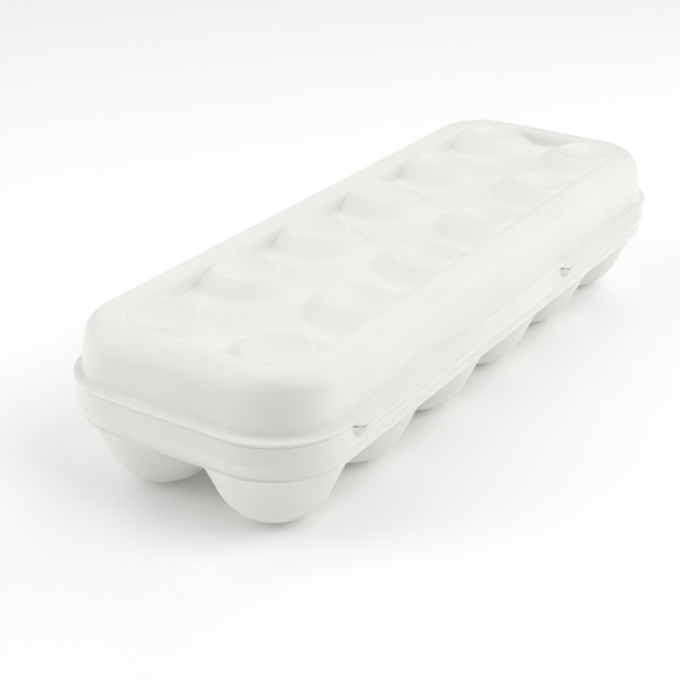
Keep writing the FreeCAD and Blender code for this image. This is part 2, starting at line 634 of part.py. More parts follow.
def dish_profile(body, place):
    """Half of a lens: the round bottom of the dish, closed by the plane of the boss's top."""
    sketch = new_sketch(body, "dish_profile", "XZ_Plane", **place)
    top = value("Sizes.box_height")
    rim = FreeCAD.Vector(value(DISH_RADIUS), top, 0)
    bottom_height = "(Sizes.box_height - Sizes.dish_depth)"
    bottom = FreeCAD.Vector(0, value(bottom_height), 0)
    bend = f"(({DISH_RADIUS} ^ 2 + Sizes.dish_depth ^ 2) / (2 * Sizes.dish_depth))"
    center = FreeCAD.Vector(0, bottom.y + value(bend), 0)
    circle = Part.Circle(center, FreeCAD.Vector(0, 0, 1), value(bend))
    rim_angle = math.atan2(rim.y - center.y, rim.x)
    bowl = sketch.addGeometry(Part.ArcOfCircle(circle, -math.pi / 2, rim_angle))
    lid = sketch.addGeometry(Part.LineSegment(rim, FreeCAD.Vector(0, top, 0)))
    axis = sketch.addGeometry(Part.LineSegment(FreeCAD.Vector(0, top, 0), bottom))
    relate(sketch, "Coincident", bowl, 2, lid, 1)
    relate(sketch, "Coincident", lid, 2, axis, 1)
    relate(sketch, "Coincident", axis, 2, bowl, 1)
    relate(sketch, "Horizontal", lid)
    relate(sketch, "PointOnObject", bowl, 3, -2)
    fix_point(sketch, lid, 2, "0", "Sizes.box_height")
    fix_point(sketch, axis, 2, "0", bottom_height)
    bind(sketch, bend, "Radius", bowl)
    return sketch


def make_lip(body):
    """The ring under the bead that drops inside the rim."""
    sketch = inset_outline(body, "lip_outline", SEAM_HEIGHT, LIP_INSET,
                           f"Sizes.corner_radius - {LIP_INSET}")
    inner_inset = f"({LIP_INSET} + Sizes.lip_thickness)"
    rounded_rectangle(sketch, f"Sizes.box_length - 2 * {inner_inset}", f"Sizes.box_width - 2 * {inner_inset}",
                      f"Sizes.corner_radius - {inner_inset}")
    extrude(body, "Pad", "lip", sketch, "Sizes.lip_depth", backwards=True)


def make_web(label, sizes, place):
    """A thin straight film, as a block bound to three sizes and a place."""
    web = doc.addObject("Part::Box", label)
    web.Label = label
    for name, expression in zip(("Length", "Width", "Height"), sizes):
        web.setExpression(name, expression)
    for axis, expression in zip("xyz", place):
        web.setExpression(f"Placement.Base.{axis}", expression)
    return web


def make_hinge_web(label, side):
    middle = f"({side} * {HINGE_MIDDLE})"
    length = f"({HINGE_LENGTH} - 2 * Sizes.hinge_ramp)"
    return make_web(label, (length, "Sizes.web_thickness", "Sizes.web_height"),
                    (f"{middle} - {length} / 2", HINGE_AXIS_Y,
                     f"{HINGE_AXIS_Z} - Sizes.web_height / 2"))


def make_clasp_web(label):
    return make_web(label, ("Sizes.clasp_width", "Sizes.clasp_gap", "Sizes.web_thickness"),
                    ("-Sizes.clasp_width / 2", "Sizes.box_width / 2",
                     f"{CLASP_AXIS_Z} - Sizes.web_thickness / 2"))


def make_front_clasp():
    """A flat tongue in front of the rim, with a hook on its inner face and round lower corners."""
    body = new_body("front_clasp")
    outer_y = f"({CLASP_INNER_Y} + Sizes.clasp_thickness)"
    hook_y = f"({CLASP_INNER_Y} - Sizes.hook_reach)"
    hook_bottom = f"({CLASP_END_Z} + Sizes.hook_above_end)"
    top_z = f"({CLASP_AXIS_Z} + Sizes.clasp_rise - Sizes.bead_height / 2)"
    profile = new_sketch(body, "clasp_profile", "YZ_Plane")
    polygon(profile, ((CLASP_INNER_Y, CLASP_END_Z), (outer_y, CLASP_END_Z), (outer_y, top_z),
                      (CLASP_INNER_Y, top_z), (CLASP_INNER_Y, HOOK_TOP), (hook_y, HOOK_TOP),
                      (CLASP_INNER_Y, hook_bottom)))
    tongue = extrude(body, "Pad", "tongue", profile, "Sizes.clasp_width", both_ways=True)
    half_width = value("Sizes.clasp_width / 2")
    end_height = value(CLASP_END_Z)
    margin = tolerance()
    round_edges(body, "tongue_corners", tongue, "Sizes.clasp_round",
                lambda point: abs(abs(point.x) - half_width) < margin and abs(point.z - end_height) < margin)
    return body


pieces = [make_base_rim(), make_lid(), make_front_clasp()]
pieces.append(make_hinge_web("hinge_web_left", -1))
pieces.append(make_hinge_web("hinge_web_right", 1))
pieces.append(make_clasp_web("clasp_web"))
for row, row_name in enumerate(("hinge", "front")):
    for column in range(CUP_COLUMNS):
        pieces.append(make_egg_cup(f"egg_cup_{row_name}_{column + 1}", column, row))
doc.recompute()

for item in doc.Objects:
    if "Invalid" in item.State or "Error" in item.State:
        raise RuntimeError(f"{item.Label} failed: {item.State}")
for piece in pieces:
    if piece.Shape.isNull() or not piece.Shape.isValid():
        raise RuntimeError(f"{piece.Label} has no valid shape")

os.makedirs("parts", exist_ok=True)
for piece in pieces:
    piece.Shape.exportStep(f"parts/{piece.Label}.step")
    print(piece.Label, len(piece.Shape.Solids), round(piece.Shape.Volume))
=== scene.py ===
import math
import bpy
import numpy as np
from mathutils import Matrix


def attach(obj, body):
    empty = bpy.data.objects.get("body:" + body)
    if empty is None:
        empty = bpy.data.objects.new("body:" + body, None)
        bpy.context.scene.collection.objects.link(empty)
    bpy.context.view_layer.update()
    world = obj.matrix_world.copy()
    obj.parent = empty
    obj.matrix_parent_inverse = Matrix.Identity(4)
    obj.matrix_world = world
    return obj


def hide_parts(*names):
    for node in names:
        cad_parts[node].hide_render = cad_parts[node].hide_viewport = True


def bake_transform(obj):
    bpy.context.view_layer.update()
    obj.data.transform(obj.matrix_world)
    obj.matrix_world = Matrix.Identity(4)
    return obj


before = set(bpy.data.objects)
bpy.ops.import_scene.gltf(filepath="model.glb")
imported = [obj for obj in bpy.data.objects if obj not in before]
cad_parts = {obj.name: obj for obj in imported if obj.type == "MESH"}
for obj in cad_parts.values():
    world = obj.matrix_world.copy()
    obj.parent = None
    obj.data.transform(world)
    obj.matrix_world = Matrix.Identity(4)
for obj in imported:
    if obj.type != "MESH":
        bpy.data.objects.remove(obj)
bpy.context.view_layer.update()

# Egg storage box for twelve eggs, moulded in white polypropylene. X runs along the box, the hinges are on the
# -Y side and the clasp is on the +Y side. Lengths are in millimetres until a mesh is made.
MM = 0.001
BOX_LENGTH, BOX_WIDTH, BOX_HEIGHT = 300.0, 110.0, 65.0
CORNER_RADIUS = 29.5
SEAM = 43.2

# Lid: flange, hollow above it, sloping wall, rounded top edge, and the lip that drops into the rim
FLANGE_EDGE, FLANGE_ROUND, FLANGE_UNDERCUT = 1.3, 0.7, 0.55
HOLLOW_INSET, HOLLOW_HEIGHT, HOLLOW_ROUND = 3.4, 1.8, 1.8
KNEE_INSET, KNEE_HEIGHT, KNEE_ROUND = 3.4, 6.5, 8.0
LID_WALL = 1.5
LID_TOP_INSET, LID_EDGE_RADIUS, LID_FLAT_INSET = 5.8, 8.6, 13.6
LIP_DEPTH, LIP_OUTER_INSET, LIP_INNER_INSET = 3.0, 2.4, 3.6
MOULD_EDGE = 0.5

# Relief of the lid, shifted towards the hinges: a sunken panel, and a boss with a dished top over each cup
RELIEF_SHIFT = 2.3
PANEL_HALF_LENGTH, PANEL_HALF_WIDTH, PANEL_CORNER = 133.2, 37.7, 14.0
PANEL_DEPTH, PANEL_WALL_RUN, PANEL_SOFTNESS = 5.2, 1.7, 0.35
BOSS_TOP, BOSS_FLANK, BOSS_SOFTNESS = 12.2, 8.3, 0.9
DISH_RADIUS, DISH_DEPTH, DISH_SOFTNESS = 11.6, 2.3, 0.6
GATE_X, GATE_RADIUS, GATE_DEPTH = -48.0, 1.5, 0.25

# Rim of the base: an upper band, a step, and a lower band that tapers to the cups, each with a fine lip below
RIM_TOP, STEP_HEIGHT, SHOULDER_HEIGHT = 43.15, 35.4, 36.9
STEP_INSET, LOWER_INSET, UPPER_WALL, LOWER_WALL = 0.8, 1.7, 2.0, 2.4
BAND_LIP, BAND_LIP_HEIGHT, BAND_LIP_TOP = 0.35, 0.3, 0.9
FLOOR_UNDER, FLOOR_TOP = 29.2, 30.7

# Egg cups
CUP_COLUMNS, CUP_ROWS = 6, 2
PITCH_X, PITCH_Y = 48.0, 48.4
BOWL_RADIUS, FOOT_RADIUS, MOUTH_RADIUS = 22.5, 4.0, 27.7
CUP_WALL, MOUTH_WALL = 1.4, 2.3
CUP_BLEND, FLOOR_BLEND = 0.6, 0.3

# Living hinges: a flat leaf on the lid, a round one on the rim, and the film between their edges
HINGE_INNER_END, HINGE_OUTER_END = 38.5, 118.5
FOLD_Y, FOLD_Z = -57.4, 41.6
FILM_HEIGHT, FILM_THICKNESS, FILM_BULGE = 1.0, 0.4, 0.3
LID_LEAF_ROOT, LID_LEAF_CROWN, LID_LEAF_FLATNESS = -51.4, 45.7, 1.6
RIM_LEAF_ROOT, RIM_LEAF_CROWN, RIM_LEAF_FLATNESS = -53.9, 37.6, 1.0
LEAF_THICKNESS = 1.2
RAMP_LENGTH, RAMP_LEAD, RAMP_SINK, RAMP_SLIT, RAMP_NOTCH = 6.2, 1.5, 1.0, 0.12, 0.7
NOTCH_PLACE, NOTCH_SPREAD, SLIT_POWER = 0.42, 0.13, 40
LEAF_BEVEL, CLASP_BEVEL = 0.2, 0.1

# Clasp on the front, and the rib on the rim that its hook passes under
CLASP_HALF_WIDTH, CLASP_LOW, CLASP_HIGH = 17.0, 36.4, 45.0
CLASP_INNER_Y, CLASP_OUTER_Y, CLASP_CORNER, CLASP_EDGE = 56.0, 57.4, 4.0, 0.45
CLASP_FOLD_Z, CLASP_FILM_THICKNESS = 44.4, 0.4
HOOK_LOW, HOOK_HIGH, HOOK_Y = 37.8, 39.2, 55.6
CATCH_LOW, CATCH_HIGH, CATCH_Y, CATCH_ROOT_Y = 39.7, 40.9, 55.5, 54.0

# Polypropylene: how it bends light, and how far red, green and blue scatter in it
POLYPROPYLENE_IOR = 1.49
SCATTER_BY_COLOUR = (1.0, 0.95, 0.9)

# Points round the box: steps along a long and a short side, each from corner middle to corner middle
LONG_STEPS, SHORT_STEPS = 166, 41
RING_POINTS = 2 * (LONG_STEPS + SHORT_STEPS)

# Light, in metres and watts: a pale floor that glows more towards the distance, the room, and softboxes that
# face the box, none on the camera's side. Each has an azimuth, anticlockwise from +X, an elevation and a
# power.
FLOOR_REACH, FLOOR_GLOW, ROOM_LIGHT = 30.0, 0.09, 0.1
FAR_GLOW, GLOW_FROM, GLOW_TO, BACKDROP = 0.85, 0.8, 2.0, 1.0
SOFTBOX_DISTANCE, SOFTBOX_SIZE = 1.4, 0.9
SOFTBOXES = {
    "overhead_softbox": (45, 87, 2.0),
    "right_softbox": (270, 50, 8.2),
    "right_low_softbox": (315, 20, 4.6),
    "far_softbox": (0, 50, 3.7),
    "far_low_softbox": (45, 20, 1.8),
    "back_softbox": (90, 50, 1.9),
    "left_softbox": (135, 50, 3.5),
    "left_low_softbox": (135, 20, 5.9),
}


def linear_colour(hex_code):
    """An sRGB hex colour as linear red, green, blue and alpha."""
    shares = np.array([int(hex_code[place:place + 2], 16) for place in (1, 3, 5)]) / 255
    linear = np.where(shares <= 0.04045, shares / 12.92, ((shares + 0.055) / 1.055) ** 2.4)
    return (*linear.tolist(), 1.0)


def add_node(tree, kind, links=(), **settings):
    """One node with its settings; links are (socket of this node, socket that feeds it)."""
    new = tree.nodes.new(kind)
    for name, setting in settings.items():
        if name in new.inputs:
            new.inputs[name].default_value = setting
        else:
            setattr(new, name, setting)
    for socket, source in links:
        tree.links.new(new.inputs[socket], source)
    return new


def polypropylene(name, tint, shade, roughness, grain_depth):
    """Injection-moulded polypropylene: a milky white body under a fine spark-eroded grain. The eye sees soft,
    broad highlights, a little light passing through thin walls, and a faint unevenness of gloss where the
    melt flowed. The grain of the tool is about 0.3 mm; it is drawn at 0.7 mm, because finer doesn't show."""
    grain_mm, flow_mm, cloud_mm, scatter_mm = 0.7, 9.0, 45.0, 2.5
    shade_place, tint_place, gloss_spread, grain_strength, scatter_share = 0.3, 0.7, 0.05, 0.5, 0.2
    material = bpy.data.materials.new(name)
    material.use_nodes = True
    tree = material.node_tree
    tree.nodes.clear()
    place = add_node(tree, "ShaderNodeTexCoord").outputs["Object"]
    clouds = add_node(tree, "ShaderNodeTexNoise", [("Vector", place)], Scale=1 / (cloud_mm * MM), Detail=3.0)
    colour = add_node(tree, "ShaderNodeValToRGB", [("Fac", clouds.outputs["Fac"])])
    colour.color_ramp.elements[0].color = linear_colour(shade)
    colour.color_ramp.elements[0].position = shade_place
    colour.color_ramp.elements[1].color = linear_colour(tint)
    colour.color_ramp.elements[1].position = tint_place
    flow = add_node(tree, "ShaderNodeTexNoise", [("Vector", place)], Scale=1 / (flow_mm * MM), Detail=4.0)
    gloss = add_node(tree, "ShaderNodeMapRange", [("Value", flow.outputs["Fac"])])
    gloss.inputs["To Min"].default_value = roughness - gloss_spread
    gloss.inputs["To Max"].default_value = roughness + gloss_spread
    grain = add_node(tree, "ShaderNodeTexNoise", [("Vector", place)], Scale=1 / (grain_mm * MM), Detail=2.0)
    bump = add_node(tree, "ShaderNodeBump", [("Height", grain.outputs["Fac"])], Strength=grain_strength,
                    Distance=grain_depth * MM)
    shader = add_node(tree, "ShaderNodeBsdfPrincipled",
                      [("Base Color", colour.outputs["Color"]), ("Roughness", gloss.outputs["Result"]),
                       ("Normal", bump.outputs["Normal"])], IOR=POLYPROPYLENE_IOR)
    shader.inputs["Subsurface Weight"].default_value = scatter_share
    shader.inputs["Subsurface Radius"].default_value = SCATTER_BY_COLOUR
    shader.inputs["Subsurface Scale"].default_value = scatter_mm * MM
    add_node(tree, "ShaderNodeOutputMaterial", [("Surface", shader.outputs["BSDF"])])
    return material


def hinge_film(name):
    """Polypropylene thinned to a film and folded: worked white along the fold, a little glossier than the
    walls, and more light comes through it. The fine lines along the fold are 0.4 mm apart."""
    line_mm, line_depth_mm, scatter_mm = 0.4, 0.05, 1.5
    along_fold_share, line_strength, roughness, scatter_share = 0.05, 0.4, 0.3, 0.35
    material = bpy.data.materials.new(name)
    material.use_nodes = True
    tree = material.node_tree
    tree.nodes.clear()
    place = add_node(tree, "ShaderNodeTexCoord").outputs["Object"]
    turned = add_node(tree, "ShaderNodeMapping", [("Vector", place)])
    turned.inputs["Scale"].default_value = (along_fold_share, 1.0, 1.0)
    lines = add_node(tree, "ShaderNodeTexNoise", [("Vector", turned.outputs["Vector"])],
                     Scale=1 / (line_mm * MM), Detail=2.0)
    colour = add_node(tree, "ShaderNodeValToRGB", [("Fac", lines.outputs["Fac"])])
    colour.color_ramp.elements[0].color = linear_colour("#F4F4F1")
    colour.color_ramp.elements[1].color = linear_colour("#FEFEFD")
    bump = add_node(tree, "ShaderNodeBump", [("Height", lines.outputs["Fac"])], Strength=line_strength,
                    Distance=line_depth_mm * MM)
    shader = add_node(tree, "ShaderNodeBsdfPrincipled",
                      [("Base Color", colour.outputs["Color"]), ("Normal", bump.outputs["Normal"])],
                      Roughness=roughness, IOR=POLYPROPYLENE_IOR)
    shader.inputs["Subsurface Weight"].default_value = scatter_share
    shader.inputs["Subsurface Radius"].default_value = SCATTER_BY_COLOUR
    shader.inputs["Subsurface Scale"].default_value = scatter_mm * MM
    add_node(tree, "ShaderNodeOutputMaterial", [("Surface", shader.outputs["BSDF"])])
    return material


OUTSIDE = polypropylene("polypropylene_moulded_satin", "#F4F3EF", "#F0EFEB", 0.42, 0.012)
INSIDE = polypropylene("polypropylene_moulded_smooth", "#F4F3EF", "#F1F0EC", 0.3, 0.004)
FILM = hinge_film("polypropylene_hinge_film")


def make_piece(name, points, faces, body, materials, inner_faces=None, nodes=()):
    """A smooth-shaded mesh object from points in millimetres and a list of faces, riding on a body."""
    mesh = bpy.data.meshes.new(name)
    mesh.from_pydata((np.asarray(points) * MM).tolist(), [], faces)
    mesh.polygons.foreach_set("use_smooth", np.ones(len(faces), dtype=bool))
    for material in materials:
        mesh.materials.append(material)
    if inner_faces is not None:
        mesh.polygons.foreach_set("material_index", np.asarray(inner_faces, dtype=np.int32))
    mesh.update()
    piece = bpy.data.objects.new(name, mesh)
    bpy.context.collection.objects.link(piece)
    if body:
        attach(piece, body)
    if nodes:
        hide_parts(*nodes)
    return piece


def strip(first, second):
    """Four-cornered faces between two closed loops of point numbers, seen from the side that they face."""
    return np.stack([first, np.roll(first, -1), np.roll(second, -1), second], axis=1)


def loops(rows, columns, start=0):
    """Faces of a stack of closed loops, row by row."""
    numbers = start + np.arange(rows * columns).reshape(rows, columns)
    return np.concatenate([strip(low, high) for low, high in zip(numbers[:-1], numbers[1:])])


def sheet_faces(numbers):
    """Faces of a grid of point numbers; they face up when columns run along +X and rows along +Y."""
    return np.stack([numbers[:-1, :-1], numbers[:-1, 1:], numbers[1:, 1:], numbers[1:, :-1]],
                    axis=-1).reshape(-1, 4)


def side_points(half_run, distance, radius, steps):
    """One side of a rounded rectangle, from the middle of one corner's arc to the middle of the next, with
    even steps: along the side, and out from the middle of the rectangle."""
    arc = radius * math.pi / 4
    straight = 2 * (half_run - radius)
    way = np.linspace(0, 2 * arc + straight, steps, endpoint=False)
    bend = np.maximum(arc - way, 0) - np.maximum(way - arc - straight, 0)
    angle = bend / max(radius, MM)
    along = np.clip(way - arc, 0, straight) - straight / 2 - radius * np.sin(angle)
    return along, distance - radius * (1 - np.cos(angle))


def outline_ring(half_length, half_width, radius, height, finer=1):
    """A closed loop on a rounded rectangle at a height: four sides, anticlockwise seen from above."""
    long_along, long_out = side_points(half_length, half_width, radius, finer * LONG_STEPS)
    short_along, short_out = side_points(half_width, half_length, radius, finer * SHORT_STEPS)
    x = np.concatenate([long_along, short_out, -long_along, -short_out])
    y = np.concatenate([-long_out, short_along, long_out, -short_along])
    return np.stack([x, y, np.full(finer * RING_POINTS, height)], axis=1)


def inset_ring(inset, height, finer=1):
    """The box's outline drawn in by an inset, at a height."""
    return outline_ring(BOX_LENGTH / 2 - inset, BOX_WIDTH / 2 - inset, CORNER_RADIUS - inset, height, finer)


def rounded_path(corners, closed=False, arc_steps=6, small_radius=0.6, hold=0.3, run_step=5.0):
    """A line through corners (across, up, radius): each corner is an arc that touches both of its runs, with
    half as many steps where its radius is small, and each run has points near its ends, which keep the
    shading of flat walls flat."""
    places = np.array([corner[:2] for corner in corners])
    count = len(corners)
    arcs = []
    for number, (_, _, radius) in enumerate(corners):
        here = places[number]
        at_end = not closed and number in (0, count - 1)
        if at_end or radius == 0:
            arcs.append(here[None, :])
            continue
        back = places[number - 1] - here
        ahead = places[(number + 1) % count] - here
        back = back / np.hypot(*back)
        ahead = ahead / np.hypot(*ahead)
        half_angle = math.acos(np.clip(back @ ahead, -1, 1)) / 2
        reach = radius / math.tan(half_angle)
        middle_way = (back + ahead) / np.hypot(*(back + ahead))
        centre = here + middle_way * radius / math.sin(half_angle)
        steps = arc_steps if radius > small_radius else arc_steps // 2
        turns = np.linspace(0, 1, steps + 1)[:, None]
        start, end = here + back * reach - centre, here + ahead * reach - centre
        sweep = math.pi - 2 * half_angle
        arc = (start * np.sin((1 - turns) * sweep) + end * np.sin(turns * sweep)) / math.sin(sweep)
        arcs.append(centre + arc)
    pieces = []
    for number in range(count if closed else count - 1):
        start, end = arcs[number][-1], arcs[(number + 1) % count][0]
        length = np.hypot(*(end - start))
        pieces.append(arcs[number])
        if length > 3 * hold:
            middle = np.linspace(hold, length - hold, max(2, int(length / run_step) + 1))
            pieces.append(start + (end - start) * (middle / length)[:, None])
    if not closed:
        pieces.append(arcs[-1])
    return np.concatenate(pieces)


def rounded_rectangle_depth(x, y, half_length, half_width, radius):
    """How far a point lies inside a rounded rectangle; negative outside it."""
    beyond_x, beyond_y = np.abs(x) - half_length + radius, np.abs(y) - half_width + radius
    outside = np.hypot(np.maximum(beyond_x, 0), np.maximum(beyond_y, 0))
    return radius - outside - np.minimum(np.maximum(beyond_x, beyond_y), 0)


def softened(depth, x, y, reach):
    """The mean of a depth over a small disc, which rounds its edges as a mould's radius does."""
    total = depth(x, y)
    count = 1
    inner_ring, outer_ring = (0.5, 6), (1.0, 12)
    for share, points in (inner_ring, outer_ring):
        for angle in np.arange(points) * (2 * math.pi / points):
            total = total + depth(x + reach * share * math.cos(angle), y + reach * share * math.sin(angle))
            count += 1
    return total / count


def from_boss_centre(x, y):
    """Distance from the nearest boss's axis."""
    column = np.clip(np.round(x / PITCH_X + (CUP_COLUMNS - 1) / 2), 0, CUP_COLUMNS - 1)
    return np.hypot(x - (column - (CUP_COLUMNS - 1) / 2) * PITCH_X, np.abs(y) - PITCH_Y / 2)


def panel_depth(x, y):
    """The sunken panel: a sloping wall down from its rounded outline, then a flat floor."""
    inside = rounded_rectangle_depth(x, y, PANEL_HALF_LENGTH, PANEL_HALF_WIDTH, PANEL_CORNER)
    return PANEL_DEPTH * np.clip(inside / PANEL_WALL_RUN, 0, 1)


def boss_depth(x, y):
    """The flank of the nearest boss: level with the lid's top, then down a cone to the panel's floor."""
    return PANEL_DEPTH * np.clip((from_boss_centre(x, y) - BOSS_TOP) / BOSS_FLANK, 0, 1)


def dish_depth(x, y):
    """The round dish in the top of the nearest boss, a shallow paraboloid."""
    return DISH_DEPTH * np.maximum(1 - (from_boss_centre(x, y) / DISH_RADIUS) ** 2, 0)


def gate_depth(x, y):
    """The mark of the mould's gate, a shallow round dimple on the panel's middle line."""
    return GATE_DEPTH * np.clip(2 - 2 * np.hypot(x - GATE_X, y) / GATE_RADIUS, 0, 1)


def lid_relief(x, y):
    """Depth of the lid's top below its border: the shallower of panel and boss, with the dishes taken out."""
    y = y + RELIEF_SHIFT
    panel = softened(panel_depth, x, y, PANEL_SOFTNESS)
    boss = softened(boss_depth, x, y, BOSS_SOFTNESS)
    return np.minimum(panel, boss) + softened(dish_depth, x, y, DISH_SOFTNESS) + gate_depth(x, y)


def relief_sheet(level, insets, finer):
    """The lid's relief below a level: loops drawn in from the border, and a grid inside the rectangle at
    which the corners' arcs end. Gives the points, the loops' numbers, the last of them the grid's edge, and
    the grid's numbers."""
    rings = np.concatenate([inset_ring(inset, level, finer) for inset in insets])
    half_length, half_width = BOX_LENGTH / 2 - CORNER_RADIUS, BOX_WIDTH / 2 - CORNER_RADIUS
    x, y = np.meshgrid(np.linspace(-half_length, half_length, finer * LONG_STEPS + 1),
                       np.linspace(-half_width, half_width, finer * SHORT_STEPS + 1))
    inner = np.stack([x, y, np.full(x.shape, level)], axis=-1).reshape(-1, 3)
    points = np.concatenate([rings, inner])
    points[:, 2] -= lid_relief(points[:, 0], points[:, 1])
    grid = len(rings) + np.arange(x.size).reshape(x.shape)
    edge = np.concatenate([grid[0, :-1], grid[:-1, -1], grid[-1, :0:-1], grid[:0:-1, 0]])
    return points, np.vstack([np.arange(len(rings)).reshape(len(insets), -1), edge]), grid


def make_lid():
    """The lid's shell: a profile carried round the box from the ceiling down the inside, round the lip and
    the flange, and up the outside to the top border, closed by the relief above, which has twice as many
    points to a loop, and the same relief a wall below."""
    hollow_z, knee_z = SEAM + HOLLOW_HEIGHT, SEAM + KNEE_HEIGHT
    slope = (LID_TOP_INSET - KNEE_INSET) / (BOX_HEIGHT - knee_z)
    ceiling = BOX_HEIGHT - LID_WALL
    wall_inset, knee_inset = HOLLOW_INSET + LID_WALL, KNEE_INSET + LID_WALL
    ceiling_inset = knee_inset + slope * (ceiling - knee_z)
    lip_bottom = SEAM - LIP_DEPTH
    profile = rounded_path([
        (LID_FLAT_INSET, ceiling, 0), (ceiling_inset, ceiling, LID_EDGE_RADIUS - LID_WALL),
        (knee_inset, knee_z, KNEE_ROUND), (wall_inset, hollow_z, MOULD_EDGE),
        (LIP_INNER_INSET, SEAM, MOULD_EDGE),
        (LIP_INNER_INSET, lip_bottom, MOULD_EDGE), (LIP_OUTER_INSET, lip_bottom, MOULD_EDGE),
        (LIP_OUTER_INSET, SEAM, MOULD_EDGE / 2), (0, SEAM, FLANGE_UNDERCUT),
        (0, SEAM + FLANGE_EDGE, FLANGE_ROUND),
        (HOLLOW_INSET, hollow_z, HOLLOW_ROUND), (KNEE_INSET, knee_z, KNEE_ROUND),
        (LID_TOP_INSET, BOX_HEIGHT, LID_EDGE_RADIUS), (LID_FLAT_INSET, BOX_HEIGHT, 0)])
    rings = np.concatenate([inset_ring(inset, height) for inset, height in profile])
    numbers = np.arange(len(rings)).reshape(-1, RING_POINTS)
    walls = loops(len(profile), RING_POINTS)
    # The loops of the relief lie closest where the panel's edge runs
    edge_from, edge_to = 14.2, 20.5
    fine_step, step, under_start, under_step = 0.5, 0.8, 1.0, 1.5
    top_insets = np.concatenate([np.arange(LID_FLAT_INSET + fine_step, edge_from, fine_step),
                                 np.arange(edge_from, edge_to, fine_step),
                                 np.arange(edge_to, CORNER_RADIUS, step)])
    under_insets = np.arange(LID_FLAT_INSET + under_start, CORNER_RADIUS, under_step)
    top, top_loops, top_grid = relief_sheet(BOX_HEIGHT, top_insets, 2)
    under, under_loops, under_grid = relief_sheet(ceiling, under_insets, 1)
    top_loops, top_grid = top_loops + len(rings), top_grid + len(rings)
    under_loops, under_grid = under_loops + len(rings) + len(top), under_grid + len(rings) + len(top)
    # Five-cornered faces lead from the border to a loop of twice as many points
    border, first = numbers[-1], top_loops[0]
    paired, between = first[::2], first[1::2]
    widening = np.stack([border, np.roll(border, -1), np.roll(paired, -1), between, paired], axis=1)
    above = [strip(outer, inner) for outer, inner in zip(top_loops[:-1], top_loops[1:])]
    below = [strip(inner, outer) for outer, inner in zip(under_loops[:-1], under_loops[1:])]
    above = np.concatenate([*above, sheet_faces(top_grid)])
    below = np.concatenate([strip(under_loops[0], numbers[0]), *below, sheet_faces(under_grid)[:, ::-1]])
    faces = walls.tolist() + widening.tolist() + above.tolist() + below.tolist()
    outer_from = int(np.argmax(profile[:, 1] < SEAM - LIP_DEPTH / 2)) * RING_POINTS
    inside = np.concatenate([np.arange(len(walls)) < outer_from, np.zeros(len(widening) + len(above)),
                             np.ones(len(below))])
    make_piece("lid_shell", np.concatenate([rings, top, under]), faces, "lid", [OUTSIDE, INSIDE],
               inside, ["lid"])


def make_rim():
    """The rim of the base: a closed profile carried round the box, a small round at each moulded edge."""
    tray_inset = LOWER_INSET + LOWER_WALL
    bottom_rise = 0.7
    fine_edge = MOULD_EDGE / 5
    profile = rounded_path([
        (LOWER_INSET, FLOOR_UNDER, fine_edge), (LOWER_INSET, FLOOR_UNDER + BAND_LIP_HEIGHT, fine_edge),
        (LOWER_INSET + BAND_LIP, FLOOR_UNDER + BAND_LIP_TOP, fine_edge),
        (STEP_INSET, STEP_HEIGHT, fine_edge), (0, STEP_HEIGHT, fine_edge),
        (0, STEP_HEIGHT + BAND_LIP_HEIGHT, fine_edge), (BAND_LIP, STEP_HEIGHT + BAND_LIP_TOP, fine_edge),
        (BAND_LIP, RIM_TOP, MOULD_EDGE / 2), (UPPER_WALL, RIM_TOP, MOULD_EDGE),
        (UPPER_WALL, SHOULDER_HEIGHT, MOULD_EDGE), (tray_inset, SHOULDER_HEIGHT, MOULD_EDGE),
        (tray_inset, FLOOR_UNDER + bottom_rise, fine_edge)], closed=True)
    rings = np.concatenate([inset_ring(inset, height) for inset, height in profile])
    closed_numbers = np.arange(len(rings)).reshape(-1, RING_POINTS)
    faces = np.concatenate([loops(len(profile), RING_POINTS), strip(closed_numbers[-1], closed_numbers[0])])
    make_piece("base_rim_band", rings, faces.tolist(), "base", [OUTSIDE], nodes=["base_rim"])


def smooth_minimum(first, second, reach):
    """The lesser of two heights, rounded over where they are nearer to each other than a reach."""
    share = np.clip(0.5 + 0.5 * (second - first) / reach, 0, 1)
    return second + (first - second) * share - reach * share * (1 - share)


def bowl_height(radius, belly, centre, bottom, mouth_radius, mouth_height):
    """Height of a bowl over its axis: a flat foot, a round belly, and a cone that leaves the belly square to
    the belly's radius and ends at the mouth."""
    to_mouth = math.hypot(mouth_radius, mouth_height - centre)
    angle = math.atan2(mouth_height - centre, mouth_radius) - math.acos(belly / to_mouth)
    edge_radius, edge_height = belly * math.cos(angle), centre + belly * math.sin(angle)
    round_part = centre - np.sqrt(np.maximum(belly ** 2 - np.minimum(radius, edge_radius) ** 2, 0))
    rise = (mouth_height - edge_height) / (mouth_radius - edge_radius)
    return np.maximum(round_part + np.maximum(radius - edge_radius, 0) * rise, bottom)


